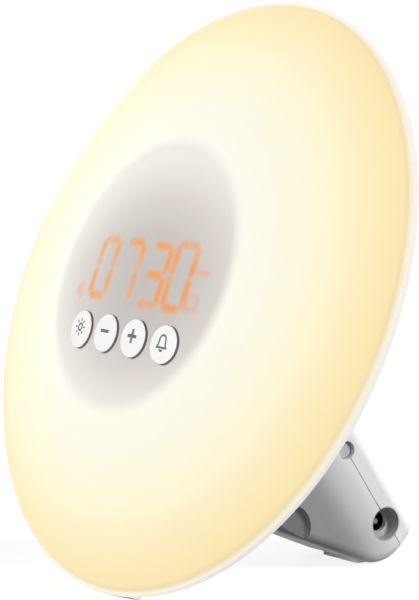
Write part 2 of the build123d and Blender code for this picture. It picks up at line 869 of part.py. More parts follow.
with BuildPart() as stand_body:
    add(leg_walls.part)
    add(inner_posts.part)
    add(scoops, mode=Mode.SUBTRACT)
    add(bowl_envelope, mode=Mode.SUBTRACT)
    split(bisect_by=parting, keep=Keep.TOP)
    add(seam.part, mode=Mode.SUBTRACT)
    for x, y in leg_screw_places:
        with BuildSketch(disc.offset(bowl_outside(hypot(x, y)) + wall)):
            with Locations((x, y)):
                Circle(screw_radius + thread_gap)
        extrude(amount=-(wall + screw_length), mode=Mode.SUBTRACT)
    with BuildSketch(back.offset(jack_board_back)):
        with Locations(*jack_board_screw_places):
            Circle(screw_radius + thread_gap)
    extrude(amount=screw_length / 2, mode=Mode.SUBTRACT)
    with BuildSketch(parting):
        with Locations(*[(0, y) for y in cover_screw_places]):
            Circle(screw_radius + thread_gap)
    extrude(amount=cover_screw_length - fine_gap, mode=Mode.SUBTRACT)
    with BuildSketch(ground):
        with Locations((0, foot_middle_y)):
            RectangleRounded(foot_length + 2 * fine_gap, foot_width + 2 * fine_gap, foot_width / 4)
    extrude(amount=foot_thickness, mode=Mode.SUBTRACT)
save(stand_body.part, "stand_body")

with BuildPart() as stand_foot:
    with BuildSketch(ground):
        with Locations((0, foot_middle_y)):
            RectangleRounded(foot_length, foot_width, foot_width / 4)
    extrude(amount=foot_thickness)
save(stand_foot.part, "stand_foot")

# ================================================================ stand_back_cover
slot_count = 2 * int(grille_radius / slot_pitch) + 1
slot_places = [(i - (slot_count - 1) / 2) * slot_pitch for i in range(slot_count)]
clip_reach = (speaker_radius + fine_gap + clip_post_radius) * cos(radians(45))
clip_places = [(clip_reach, speaker_along + clip_reach), (-clip_reach, speaker_along - clip_reach)]
speaker_seat = wall + gasket_thickness
flange_behind = speaker_seat + basket_wall

with BuildPart() as stand_back_cover:
    add(leg_walls.part)
    split(bisect_by=parting, keep=Keep.BOTTOM)
    with BuildSketch(back):
        with Locations(*[(0, y) for y in cover_screw_places]):
            Circle(cover_boss_radius)
    extrude(amount=cover_depth)
    with BuildSketch(back.offset(wall / 2)):
        with Locations(*clip_places):
            Circle(clip_post_radius)
    extrude(amount=flange_behind - wall / 2)
    add(bowl_envelope, mode=Mode.SUBTRACT)
    with BuildSketch(back):
        with Locations(*[(0, y) for y in cover_screw_places]):
            Circle(screw_head_radius + hole_gap)
    extrude(amount=cover_boss_recess, mode=Mode.SUBTRACT)
    with BuildSketch(back):
        with Locations(*[(0, y) for y in cover_screw_places]):
            Circle(screw_radius + hole_gap)
    extrude(amount=cover_depth, mode=Mode.SUBTRACT)
    with BuildSketch(back.offset(flange_behind)):
        with Locations(*clip_places):
            Circle(clip_screw_radius + thread_gap)
    extrude(amount=-(clip_screw_length + fine_gap), mode=Mode.SUBTRACT)
    with BuildSketch(back):
        for y in slot_places:
            with Locations((0, speaker_along + y)):
                SlotOverall(2 * (grille_radius**2 - y**2) ** 0.5 + slot_width, slot_width)
    extrude(amount=wall, mode=Mode.SUBTRACT)
save(stand_back_cover.part, "stand_back_cover")

# ================================================================ screws of the leg
leg_screw_seats = [bowl_inside(hypot(x, y)) + wall / 2 for x, y in leg_screw_places]
with BuildPart() as stand_screws:
    for place, seat in zip(leg_screw_places, leg_screw_seats):
        add(screw_set(disc.offset(seat), [place], screw_radius, screw_length))
save(stand_screws.part, "stand_screws")

outwards_back = Plane(origin=corner, x_dir=(1, 0, 0), z_dir=into_leg * -1)


def facing_back(places):
    """Places on the leg's back, as seen on a plane that faces outwards."""
    return [(x, -y) for x, y in places]


cover_places = facing_back([(0, y) for y in cover_screw_places])
cover_seat = outwards_back.offset(-cover_boss_recess)
cover_screws = screw_set(cover_seat, cover_places, screw_radius, cover_screw_length)
save(cover_screws, "cover_screws")

jack_board_seat = outwards_back.offset(-jack_board_depth)
jack_places = facing_back(jack_board_screw_places)
jack_screw_length = jack_board_thickness + screw_length / 2 - fine_gap
save(screw_set(jack_board_seat, jack_places, screw_radius, jack_screw_length), "jack_board_screws")

clip_seat = back.offset(flange_behind)
save(screw_set(clip_seat, clip_places, clip_screw_radius, clip_screw_length), "speaker_screws")

# ================================================================ jack_board, socket and side button
with BuildPart() as jack_board:
    with BuildSketch(back.offset(jack_board_depth)):
        with Locations((0, (jack_board_start + jack_board_end) / 2)):
            Rectangle(2 * jack_board_half_width, jack_board_end - jack_board_start)
        with Locations(*jack_board_screw_places):
            Circle(screw_radius + hole_gap, mode=Mode.SUBTRACT)
    extrude(amount=jack_board_thickness)
save(jack_board.part, "jack_board")

socket_bore_end = recess_bottom - socket_bore_length
with BuildPart() as dc_jack_body:
    with BuildSketch(flank.offset(floor_bottom)):
        with Locations((socket_along, (socket_depth - socket_body_above + jack_board_depth) / 2)):
            Rectangle(socket_body_width, jack_board_depth - socket_depth + socket_body_above)
    extrude(amount=-socket_body_length)
    with BuildSketch(flank.offset(socket_bore_end)):
        with Locations((socket_along, socket_depth)):
            Circle(socket_radius)
    extrude(amount=leg_half_width, mode=Mode.SUBTRACT)
save(dc_jack_body.part, "dc_jack_body")

with BuildPart() as dc_jack_pin:
    with BuildSketch(flank.offset(socket_bore_end)):
        with Locations((socket_along, socket_depth)):
            Circle(socket_pin_radius)
    extrude(amount=socket_bore_length - socket_pin_setback)
    fillet(dc_jack_pin.edges().group_by(Axis.X)[-1], socket_pin_radius * 0.5)
save(dc_jack_pin.part, "dc_jack_pin")

key_plane = Plane(
    origin=flank.from_local_coords((key_along, cover_depth, 0)),
    x_dir=into_leg,
    z_dir=down_leg * -1,
)
key_axis = Axis(key_plane.origin, (1, 0, 0))
key_face = leg_half_width - key_setback
key_flange_out = key_guide_end - flange_gap
key_flange_in = key_flange_out - flange_thickness
key_plunger_end = key_switch_face + plunger_proud

with BuildPart() as side_button:
    with BuildSketch(key_plane) as outline:
        with BuildLine():
            Polyline(
                (0, key_face),
                (key_radius, key_face),
                (key_radius, key_flange_out),
                (key_radius + key_flange, key_flange_out),
                (key_radius + key_flange, key_flange_in),
                (key_stem_radius, key_flange_in),
                (key_stem_radius, key_plunger_end),
                (0, key_plunger_end),
                close=True,
            )
        make_face()
        fillet(outline.vertices().sort_by_distance((key_radius, key_face))[0], key_setback * 0.3)
    revolve(axis=key_axis)
save(side_button.part, "side_button")

with BuildPart() as side_plunger:
    with BuildSketch(flank.offset(key_plunger_end)):
        with Locations((key_along, cover_depth)):
            Circle(key_plunger_radius)
    extrude(amount=-(plunger_proud + plunger_length))
save(side_plunger.part, "side_plunger")

key_switch_top = cover_depth - key_switch_width / 2
with BuildPart() as side_switch:
    with BuildSketch(flank.offset(key_switch_face)):
        with Locations((key_along, (key_switch_top + jack_board_depth) / 2)):
            Rectangle(key_switch_width, jack_board_depth - key_switch_top)
    extrude(amount=-key_switch_thickness)
    with BuildSketch(flank.offset(key_switch_face)):
        with Locations((key_along, cover_depth)):
            Circle(key_plunger_radius + plunger_gap)
    extrude(amount=-(plunger_length + press_travel + fine_gap), mode=Mode.SUBTRACT)
save(side_switch.part, "side_switch")

# ================================================================ speaker
speaker_axis_start = back.from_local_coords((0, speaker_along, 0))
speaker_plane = Plane(origin=speaker_axis_start, x_dir=(1, 0, 0), z_dir=down_leg)
speaker_axis = Axis(speaker_axis_start, tuple(into_leg))
basket_back = flange_behind + basket_depth
coil_hole = coil_radius + cone_gap
cone_mouth = cone_radius + cone_gap
tab_along = speaker_along - magnet_radius - tab_reach


def turned(points):
    """A closed outline, as (distance from the speaker's axis, depth in the leg), turned round it."""
    with BuildPart() as shape:
        with BuildSketch(speaker_plane):
            with BuildLine():
                Polyline(*points, close=True)
            make_face()
        revolve(axis=speaker_axis)
    return shape.part


with BuildPart() as speaker_gasket:
    with BuildSketch(back.offset(wall)):
        with Locations((0, speaker_along)):
            Circle(speaker_radius)
            Circle(speaker_radius - gasket_width, mode=Mode.SUBTRACT)
    extrude(amount=gasket_thickness)
save(speaker_gasket.part, "speaker_gasket")

with BuildPart() as speaker_frame:
    add(turned([
        (cone_mouth, speaker_seat),
        (speaker_radius, speaker_seat),
        (speaker_radius, flange_behind),
        (cone_mouth + basket_wall, flange_behind),
        (magnet_radius, basket_back),
        (coil_hole, basket_back),
        (coil_hole, basket_back - basket_wall),
        (magnet_radius - basket_wall, basket_back - basket_wall),
        (cone_mouth, flange_behind),
    ]))
    with BuildSketch(back.offset(basket_back)):
        with Locations((0, tab_along)):
            Rectangle(tab_width, tab_length)
        with Locations((0, tab_along + (tab_reach + coil_wall) / 2)):
            Rectangle(tab_width, tab_reach + coil_wall)
    extrude(amount=-basket_wall)
save(speaker_frame.part, "speaker_frame")

magnet_back = basket_back + magnet_depth
with BuildPart() as speaker_magnet:
    add(turned([
        (0, basket_back - basket_wall),
        (coil_radius - coil_wall - cone_gap, basket_back - basket_wall),
        (coil_radius - coil_wall - cone_gap, magnet_back - basket_wall),
        (coil_hole, magnet_back - basket_wall),
        (coil_hole, basket_back),
        (magnet_radius, basket_back),
        (magnet_radius, magnet_back),
        (0, magnet_back),
    ]))
save(speaker_magnet.part, "speaker_magnet")

cone_front = speaker_seat + cone_edge_depth
cone_back = basket_back - basket_wall - 2 * cone_gap
with BuildPart() as speaker_cone:
    add(turned([
        (0, cone_back - 3 * cone_thickness),
        (coil_radius - coil_wall, cone_back - cone_thickness),
        (cone_radius, cone_front),
        (cone_radius, cone_front + cone_thickness),
        (coil_radius, cone_back),
        (coil_radius, basket_back + coil_overlap),
        (coil_radius - coil_wall, basket_back + coil_overlap),
        (coil_radius - coil_wall, cone_back),
        (0, cone_back - 2 * cone_thickness),
    ]))
save(speaker_cone.part, "speaker_cone")

# ================================================================ leads up the leg
def gate(x):
    """The point behind the bowl where a lead turns towards the plug."""
    return disc.from_local_coords((x, lead_hole_row, -bowl_back - lead_gate_back))


def plug_end(x, behind):
    """The point where a lead enters the plug, or a point straight behind it."""
    return disc.from_local_coords((x, header_row, plug_front - behind))


lead_bends = [lead_bend, lead_bend, lead_end_bend]
power_x, power_y = power_lead_place
power_lead = tube(
    [
        back.from_local_coords((power_x, power_y, jack_board_back)),
        back.from_local_coords((power_x, power_y, jack_board_back + lead_rise)),
        gate(-lead_spread),
        plug_end(-lead_spread, lead_straight),
        plug_end(-lead_spread, 0),
    ],
    lead_bends,
    lead_radius,
)
save(power_lead, "power_lead")

speaker_lead = tube(
    [
        back.from_local_coords((lead_spread / 2, tab_along, basket_back)),
        back.from_local_coords((lead_spread / 2, tab_along, basket_back + lead_rise)),
        gate(lead_spread),
        plug_end(lead_spread, lead_straight),
        plug_end(lead_spread, 0),
    ],
    lead_bends,
    lead_radius,
)
save(speaker_lead, "speaker_lead")
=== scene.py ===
import bpy
import bmesh
from math import cos, hypot, pi, radians, sin
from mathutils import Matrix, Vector


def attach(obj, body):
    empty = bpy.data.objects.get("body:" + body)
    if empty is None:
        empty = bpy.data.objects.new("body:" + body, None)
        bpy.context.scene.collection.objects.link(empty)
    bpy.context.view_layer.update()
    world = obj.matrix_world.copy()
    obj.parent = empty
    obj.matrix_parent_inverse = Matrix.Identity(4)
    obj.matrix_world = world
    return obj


# Sunrise alarm clock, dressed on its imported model. Metres, +Z up, the clock faces -Y.
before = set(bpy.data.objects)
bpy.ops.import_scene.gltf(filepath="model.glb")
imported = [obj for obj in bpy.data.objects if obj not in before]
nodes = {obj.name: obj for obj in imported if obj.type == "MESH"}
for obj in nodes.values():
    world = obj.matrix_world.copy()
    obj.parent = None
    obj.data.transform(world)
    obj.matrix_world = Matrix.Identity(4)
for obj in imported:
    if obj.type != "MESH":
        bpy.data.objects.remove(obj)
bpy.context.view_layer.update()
print("stage: frame loaded,", len(nodes), "nodes")

mm = 0.001

# the disc that everything sits on: its centre lies in the plane of the rim's front
disc = {
    "tilt": 22.0,
    "centreBack": 31.52,
    "centreRise": 88.17,
    "domeRadius": 93.3,
    "domeHeight": 22.3,
    "domeFullness": 1.21,
}
leanCos, leanSin = cos(radians(disc["tilt"])), sin(radians(disc["tilt"]))
discCentre = Vector((0, disc["centreBack"], disc["centreRise"])) * mm
discUp = Vector((0, leanSin, leanCos))
discOut = Vector((0, -leanCos, leanSin))


def onDisc(x, up, out):
    # a place given in millimetres from the disc's centre: right, up the disc, out of it
    return discCentre + (Vector((x, 0, 0)) + discUp * up + discOut * out) * mm


def domeRise(reach):
    # how far the dome stands out of the disc, by the distance from its middle
    share = max(0.0, 1 - (reach / disc["domeRadius"]) ** 2)
    return disc["domeHeight"] * share ** (1 / disc["domeFullness"])


def paint(red, green, blue):
    # a colour given as screen values from 0 to 255, as the linear values that shaders take
    def linear(value):
        share = value / 255
        return share / 12.92 if share <= 0.04045 else ((share + 0.055) / 1.055) ** 2.4
    return (linear(red), linear(green), linear(blue), 1.0)


def grey(value):
    return (value, value, value, 1.0)


def shaded(colour, share):
    return tuple(value * share for value in colour[:3]) + (1.0,)


# the camera: angles in degrees, distance from the disc's centre in metres, lens in millimetres
eye = {
    "azimuth": 54.33,
    "elevation": 6.88,
    "distance": 0.9575,
    "lens": 190.15,
    "sensorWidth": 36.0,
    "shiftX": 0.02378,
    "shiftY": -0.01067,
    "clip": (0.02, 200.0),
}


def addCamera(settings):
    turn, rise = radians(settings["azimuth"]), radians(settings["elevation"])
    back = Vector((sin(turn) * cos(rise), -cos(turn) * cos(rise), sin(rise)))
    lens = bpy.data.cameras.new("eye")
    lens.lens = settings["lens"]
    lens.sensor_width = settings["sensorWidth"]
    lens.shift_x = settings["shiftX"]
    lens.shift_y = settings["shiftY"]
    lens.clip_start, lens.clip_end = settings["clip"]
    camera = bpy.data.objects.new("eye", lens)
    camera.location = discCentre + back * settings["distance"]
    camera.rotation_mode = "QUATERNION"
    camera.rotation_quaternion = (-back).to_track_quat("-Z", "Y")
    bpy.context.scene.collection.objects.link(camera)
    bpy.context.scene.camera = camera


addCamera(eye)
bpy.context.scene.view_settings.view_transform = "Standard"
print("stage: camera")

# wide soft suns, a dim room, and a white ground that throws little light back up
studio = {
    "suns": [  # name, where it stands, strength, width in degrees
        ("sunFront", (-0.35, -0.80, 0.75), 0.45, 50.0),
        ("sunBack", (0.75, 0.35, 0.45), 2.6, 24.0),
        ("sunLow", (0.30, -0.95, 0.07), 2.7, 10.0),
        ("sunLeft", (-0.90, 0.20, 0.35), 1.15, 30.0),
        ("sunRear", (0.0, 1.0, 0.12), 0.9, 40.0),
    ],
    "room": 0.07,
    "ground": 0.25,
    "groundGlow": 0.86,
    "groundReturn": 0.12,
    "groundSize": 40.0,
}


def addSun(name, towards, strength, width):
    lamp = bpy.data.lights.new(name, "SUN")
    lamp.energy = strength
    lamp.angle = radians(width)
    sun = bpy.data.objects.new(name, lamp)
    sun.visible_glossy = False  # gloss shows the room, not the suns
    sun.rotation_mode = "QUATERNION"
    sun.rotation_quaternion = Vector(towards).normalized().to_track_quat("Z", "Y")
    bpy.context.scene.collection.objects.link(sun)


def seenShare(tree):
    # 1 for rays that show a background: from the camera, off gloss or through glass
    path = tree.nodes.new("ShaderNodeLightPath")
    share = path.outputs["Is Camera Ray"]
    for kind in ("Is Glossy Ray", "Is Transmission Ray"):
        larger = tree.nodes.new("ShaderNodeMath")
        larger.operation = "MAXIMUM"
        tree.links.new(share, larger.inputs[0])
        tree.links.new(path.outputs[kind], larger.inputs[1])
        share = larger.outputs[0]
    return share


def addRoom(settings):
    world = bpy.data.worlds.new("room")
    world.use_nodes = True
    bpy.context.scene.world = world
    tree = world.node_tree
    tree.nodes.clear()
    out = tree.nodes.new("ShaderNodeOutputWorld")
    mix = tree.nodes.new("ShaderNodeMixShader")
    thrown = tree.nodes.new("ShaderNodeBackground")
    seen = tree.nodes.new("ShaderNodeBackground")
    thrown.inputs["Strength"].default_value = settings["room"]
    thrown.inputs["Color"].default_value = grey(1.0)
    seen.inputs["Color"].default_value = grey(1.0)
    tree.links.new(seenShare(tree), mix.inputs[0])
    tree.links.new(thrown.outputs[0], mix.inputs[1])
    tree.links.new(seen.outputs[0], mix.inputs[2])
    tree.links.new(mix.outputs[0], out.inputs["Surface"])


def addGround(settings):
    mesh = bpy.data.meshes.new("ground")
    half = settings["groundSize"] / 2
    corners = [(-half, -half, 0), (half, -half, 0), (half, half, 0), (-half, half, 0)]
    mesh.from_pydata(corners, [], [(0, 1, 2, 3)])
    ground = bpy.data.objects.new("ground", mesh)
    bpy.context.scene.collection.objects.link(ground)
    finish = bpy.data.materials.new("groundWhite")
    finish.use_nodes = True
    tree = finish.node_tree
    tree.nodes.clear()
    out = tree.nodes.new("ShaderNodeOutputMaterial")
    seen = tree.nodes.new("ShaderNodeBsdfDiffuse")
    glow = tree.nodes.new("ShaderNodeEmission")
    both = tree.nodes.new("ShaderNodeAddShader")
    thrown = tree.nodes.new("ShaderNodeBsdfDiffuse")
    mix = tree.nodes.new("ShaderNodeMixShader")
    seen.inputs["Color"].default_value = grey(settings["ground"])
    glow.inputs["Strength"].default_value = settings["groundGlow"]
    thrown.inputs["Color"].default_value = grey(settings["groundReturn"])
    tree.links.new(seen.outputs[0], both.inputs[0])
    tree.links.new(glow.outputs[0], both.inputs[1])
    tree.links.new(seenShare(tree), mix.inputs[0])
    tree.links.new(thrown.outputs[0], mix.inputs[1])
    tree.links.new(both.outputs[0], mix.inputs[2])
    tree.links.new(mix.outputs[0], out.inputs["Surface"])
    mesh.materials.append(finish)


for sun in studio["suns"]:
    addSun(*sun)
addRoom(studio)
addGround(studio)
print("stage: light and ground")


class Wiring:
    # a short way to write a material's nodes; every value may be a number or another node's output

    def __init__(self, name):
        self.finish = bpy.data.materials.new(name)
        self.finish.use_nodes = True
        self.tree = self.finish.node_tree
        self.tree.nodes.clear()
        out = self.tree.nodes.new("ShaderNodeOutputMaterial")
        self.surface = self.tree.nodes.new("ShaderNodeBsdfPrincipled")
        self.join(self.surface.outputs[0], out.inputs["Surface"])
        self.place = self.tree.nodes.new("ShaderNodeTexCoord").outputs["Object"]

    def join(self, source, target):
        if hasattr(source, "is_output"):
            self.tree.links.new(source, target)
        else:
            target.default_value = source

    def sum(self, kind, first, second=0.0, third=0.0, held=False):
        node = self.tree.nodes.new("ShaderNodeMath")
        node.operation = kind
        node.use_clamp = held
        for value, socket in zip((first, second, third), node.inputs):
            self.join(value, socket)
        return node.outputs[0]

    def between(self, share, start, end, held=False):
        # start where the share is 0, end where it is 1
        return self.sum("MULTIPLY_ADD", share, end - start, start, held)

    def step(self, value, start, end):
        # 0 up to start, 1 from end on, smooth between; start may be the larger one
        node = self.tree.nodes.new("ShaderNodeMapRange")
        node.interpolation_type = "SMOOTHSTEP"
        self.join(value, node.inputs["Value"])
        node.inputs["From Min"].default_value = start
        node.inputs["From Max"].default_value = end
        return node.outputs["Result"]

    def ramp(self, value, stops, full=1.0):
        # colours along a value, with the stops' places given in its own unit, up to the full value
        node = self.tree.nodes.new("ShaderNodeValToRGB")
        bar = node.color_ramp
        while len(bar.elements) < len(stops):
            bar.elements.new(1.0)
        for element, (place, colour) in zip(bar.elements, stops):
            element.position = place / full
            element.color = colour
        self.join(value if full == 1.0 else self.sum("DIVIDE", value, full), node.inputs[0])
        return node.outputs["Color"]

    def blend(self, share, first, second):
        # a Mix node's sockets 6 and 7 are its two colours
        node = self.tree.nodes.new("ShaderNodeMix")
        node.data_type = "RGBA"
        self.join(share, node.inputs[0])
        self.join(first, node.inputs[6])
        self.join(second, node.inputs[7])
        return node.outputs[2]

    def dim(self, colour, share):
        node = self.tree.nodes.new("ShaderNodeVectorMath")
        node.operation = "SCALE"
        self.join(colour, node.inputs[0])
        self.join(share, node.inputs["Scale"])
        return node.outputs[0]

    def noise(self, perMetre, detail=2.0):
        node = self.tree.nodes.new("ShaderNodeTexNoise")
        self.join(self.place, node.inputs["Vector"])
        node.inputs["Scale"].default_value = perMetre
        node.inputs["Detail"].default_value = detail
        return node.outputs["Fac"]

    def bump(self, height, depth):
        node = self.tree.nodes.new("ShaderNodeBump")
        node.inputs["Strength"].default_value = 1.0
        node.inputs["Distance"].default_value = depth
        self.join(height, node.inputs["Height"])
        self.join(node.outputs["Normal"], self.surface.inputs["Normal"])

    def put(self, values):
        for name, value in values.items():
            self.join(value, self.surface.inputs[name])

    def reach(self, across, up, middle=(0.0, 0.0), stretch=(1.0, 1.0)):
        # distance from a middle, with each direction stretched first
        parts = []
        for value, start, share in zip((across, up), middle, stretch):
            side = self.sum("MULTIPLY", self.sum("SUBTRACT", value, start), share)
            parts.append(self.sum("MULTIPLY", side, side))
        return self.sum("SQRT", self.sum("ADD", *parts))

    def split(self, vector):
        node = self.tree.nodes.new("ShaderNodeSeparateXYZ")
        self.join(vector, node.inputs[0])
        return node.outputs

    def discPlace(self):
        # millimetres in the disc's own axes: right, up the disc, out of it
        node = self.tree.nodes.new("ShaderNodeMapping")
        node.vector_type = "TEXTURE"
        self.join(self.place, node.inputs["Vector"])
        node.inputs["Location"].default_value = discCentre
        node.inputs["Rotation"].default_value = (radians(90 - disc["tilt"]), 0, 0)
        node.inputs["Scale"].default_value = (mm, mm, mm)
        return self.split(node.outputs[0])

    def normalAlong(self, direction):
        # how far the surface faces a direction, from -1 to 1
        shape = self.tree.nodes.new("ShaderNodeNewGeometry")
        turn = self.tree.nodes.new("ShaderNodeVectorTransform")
        turn.vector_type = "NORMAL"
        turn.convert_from = "WORLD"
        turn.convert_to = "OBJECT"
        self.join(shape.outputs["Normal"], turn.inputs[0])
        dot = self.tree.nodes.new("ShaderNodeVectorMath")
        dot.operation = "DOT_PRODUCT"
        self.join(turn.outputs[0], dot.inputs[0])
        dot.inputs[1].default_value = direction
        return dot.outputs["Value"]


def dress(finish, *names):
    for name in names:
        for socket in nodes[name].material_slots:
            socket.material = finish


# what all moulded plastics share: a slow drift of tone and a fine spark-eroded grain
moulding = {
    "driftDetail": 3.0,
    "driftBand": (0.35, 0.65),
}


def plasticWires(name, settings):
    wires = Wiring(name)
    tone = settings["colour"]
    low, high = moulding["driftBand"]
    drift = wires.noise(settings["driftScale"], moulding["driftDetail"])
    colour = wires.ramp(drift, [(low, shaded(tone, settings["drift"])), (high, tone)])
    grain = wires.noise(settings["grainScale"])
    wires.put({
        "Base Color": colour,
        "Roughness": wires.between(grain, *settings["roughness"]),
        "Specular IOR Level": settings["gloss"],
    })
    wires.bump(grain, settings["grainDepth"])
    return wires, colour


def plastic(name, settings):
    return plasticWires(name, settings)[0].finish


# the glowing dome: pale cream round the clock, warmer to the edge, a grey zone in the middle
glow = {
    "rings": [  # distance from the middle, colour
        (40.0, paint(254, 252, 240)),
        (52.0, paint(252, 250, 232)),
        (62.0, paint(252, 249, 222)),
        (72.0, paint(254, 246, 211)),
        (80.0, paint(254, 238, 194)),
        (88.0, paint(254, 233, 181)),
        (91.4, paint(251, 230, 176)),
        (92.6, paint(238, 221, 177)),
        (92.9, paint(243, 230, 192)),
        (93.2, paint(250, 241, 215)),
    ],
    "zoneBand": (39.5, 45.0),  # where the zone gives way to the glow
    "zoneEdgeCentre": (-2.5, 0.0),
    "zoneCentre": (3.5, -3.0),
    "zoneStretch": (0.85, 1.12),
    "zone": [  # distance from the zone's own middle, colour
        (0.0, paint(196, 189, 184)),
        (18.0, paint(203, 197, 191)),
        (30.0, paint(218, 212, 205)),
        (38.0, paint(231, 227, 220)),
        (44.0, paint(238, 235, 228)),
    ],
    "paintedReflectionTowards": (-0.87, 0.50),  # painted reflection: the edge is paler at the upper left
    "paintedReflectionBand": (78.0, 91.0),
    # the painted reflection's colour
    "pale": paint(251, 250, 236),
    # painted shade: the dome a little darker towards its left edge
    "leftDim": 0.96,
    "leftBand": (-92.0, -40.0),
    "mottleScale": 60.0,
    "mottle": (0.985, 1.015),
    "ownLight": 0.84,
    "bodyShare": 0.135,
    "roughness": 0.38,
    "gloss": 0.18,
    "coat": 0.30,
    "coatRoughness": 0.12,
    "grainScale": 900.0,
    "grainDepth": 0.00003,
    "lit": paint(241, 160, 92),
    "litEdge": 1.0,
    "patchScale": 150.0,  # the figures show through unevenly, in patches
    "patchDetail": 1.0,
    "patchShare": (-0.12, 1.78),
    "hint": paint(232, 178, 160),
}

# the lit figures, each of seven bars with pointed ends
figure = {
    "halfWide": 4.25,
    "barWidth": 2.5,
    "gap": 0.5,
    "tipReach": 0.2,  # the points reach further by this share of a bar's half width
    "places": [  # across, up, half height, lit bars
        (-19.0, -0.4, 8.9, "abcdef"),
        (-5.6, -0.3, 8.9, "abc"),
        (8.3, -0.45, 9.15, "abcdg"),
        (20.0, 0.3, 9.8, "abcdef"),
    ],
}
tipSlope = 0.7071  # each side of a point runs at 45 degrees


def barPlaces(wide, high):
    # the seven bars of a figure: across, up, upright
    return {
        "a": (0, high, False),
        "b": (wide, high / 2, True),
        "c": (wide, -high / 2, True),
        "d": (0, -high, False),
        "e": (-wide, -high / 2, True),
        "f": (-wide, high / 2, True),
        "g": (0, 0, False),
    }


def barDistance(wires, x, up, across, rise, upright, halfLong, halfWide):
    # distance outside one bar with pointed ends, in millimetres
    along = wires.sum("ABSOLUTE", wires.sum("SUBTRACT", x, across))
    beside = wires.sum("ABSOLUTE", wires.sum("SUBTRACT", up, rise))
    if upright:
        along, beside = beside, along
    tips = wires.sum("SUBTRACT", wires.sum("ADD", along, beside), halfLong)
    sides = wires.sum("SUBTRACT", beside, halfWide)
    return wires.sum("MAXIMUM", sides, wires.sum("MULTIPLY", tips, tipSlope))


def nearestOf(wires, distances):
    nearest = distances[0]
    for distance in distances[1:]:
        nearest = wires.sum("MINIMUM", nearest, distance)
    return nearest


def figuresDistance(wires, x, up, settings):
    halfWide = settings["barWidth"] / 2
    past = halfWide * settings["tipReach"] - settings["gap"] / 2
    bars = []
    for middle, level, halfHigh, lit in settings["places"]:
        for key, (across, rise, upright) in barPlaces(settings["halfWide"], halfHigh).items():
            if key in lit:
                half = halfHigh / 2 if upright else settings["halfWide"]
                place = (middle + across, level + rise, upright)
                bars.append(barDistance(wires, x, up, *place, half + past, halfWide))
    return nearestOf(wires, bars)


# the faint signs beside the figures: a dash, a small bell and three rising bars
hints = {
    "dash": (29.0, 2.7, 2.9, 0.8),  # across, up, half length, half width
    "bell": (28.0, -6.6, 2.2),  # across, up, radius
    "bellLine": 0.55,
    "brimPast": 0.6,
    "wave": (-29.9, -8.3),  # across, up
    "waveBars": [(-1.2, 0.9), (0.0, 1.7), (1.2, 2.6)],  # across, half height
    "waveLine": 0.5,
}


def hintsDistance(wires, x, up, settings):
    line = settings["bellLine"]
    dashAcross, dashRise, halfLong, halfWide = settings["dash"]
    bellAcross, bellRise, radius = settings["bell"]
    outside = wires.sum("SUBTRACT", wires.reach(x, up, (bellAcross, bellRise)), radius)
    brimHalf = radius + settings["brimPast"]
    left, low = settings["wave"]
    return nearestOf(wires, [
        barDistance(wires, x, up, dashAcross, dashRise, False, halfLong, halfWide),
        wires.sum("SUBTRACT", wires.sum("ABSOLUTE", outside), line),
        barDistance(wires, x, up, bellAcross, bellRise - radius, False, brimHalf, line),
        *[
            barDistance(wires, x, up, left + across, low, True, halfHigh, settings["waveLine"])
            for across, halfHigh in settings["waveBars"]
        ],
    ])


def lampColour(wires, right, up, settings):
    # the lamp's glow by the distance from the middle, with a painted reflection that pales one side of
    # the edge
    lamp = wires.ramp(wires.reach(right, up), settings["rings"], disc["domeRadius"])
    sides = [
        wires.sum("MULTIPLY", value, share) for value, share in zip((right, up), settings["paintedReflectionTowards"])
    ]
    reflectedShare = wires.step(wires.sum("ADD", *sides), *settings["paintedReflectionBand"])
    return wires.blend(reflectedShare, lamp, settings["pale"])


def zoneColour(wires, right, up, settings):
    # the grey zone, with the figures and signs that show softly through the dome
    reach = wires.reach(right, up, settings["zoneCentre"], settings["zoneStretch"])
    zone = wires.ramp(reach, settings["zone"], disc["domeRadius"])
    soft = settings["litEdge"]
    hinted = wires.step(hintsDistance(wires, right, up, hints), soft, -soft)
    lit = wires.step(figuresDistance(wires, right, up, figure), soft, -soft)
    patches = wires.noise(settings["patchScale"], settings["patchDetail"])
    lit = wires.sum("MULTIPLY", lit, wires.between(patches, *settings["patchShare"], held=True))
    return wires.blend(lit, wires.blend(hinted, zone, settings["hint"]), settings["lit"])


def glowFinish(settings):
    wires = Wiring("milkyGlow")
    right, up = wires.discPlace()[:2]
    outside = wires.step(wires.reach(right, up, settings["zoneEdgeCentre"]), *settings["zoneBand"])
    colour = wires.blend(
        outside, zoneColour(wires, right, up, settings), lampColour(wires, right, up, settings),
    )
    mottle = wires.between(wires.noise(settings["mottleScale"]), *settings["mottle"])
    leftShade = wires.between(wires.step(right, *settings["leftBand"]), settings["leftDim"], 1.0)
    colour = wires.dim(colour, wires.sum("MULTIPLY", mottle, leftShade))
    wires.put({
        "Base Color": wires.dim(colour, settings["bodyShare"]),
        "Emission Color": colour,
        "Emission Strength": settings["ownLight"],
        "Roughness": settings["roughness"],
        "Specular IOR Level": settings["gloss"],
        "Coat Weight": settings["coat"],
        "Coat Roughness": settings["coatRoughness"],
    })
    wires.bump(wires.noise(settings["grainScale"]), settings["grainDepth"])
    return wires.finish


dress(glowFinish(glow), "front_diffuser")
print("stage: glowing dome")

# the white shells
shellWhite = {
    "colour": paint(240, 239, 238),
    "drift": 0.965,
    "driftScale": 25.0,
    "grainScale": 2600.0,
    "grainDepth": 0.00002,
    "roughness": (0.30, 0.42),
    "gloss": 0.45,
}
legWhite = {
    "colour": paint(242, 240, 242),
    "drift": 0.97,
    "driftScale": 22.0,
    "grainScale": 2200.0,
    "grainDepth": 0.00003,
    "roughness": (0.38, 0.52),
    "gloss": 0.40,
}
# the lid a little whiter than the leg, as painted light on its bright back strip
lidWhite = dict(legWhite, colour=paint(244, 242, 244), driftScale=30.0)

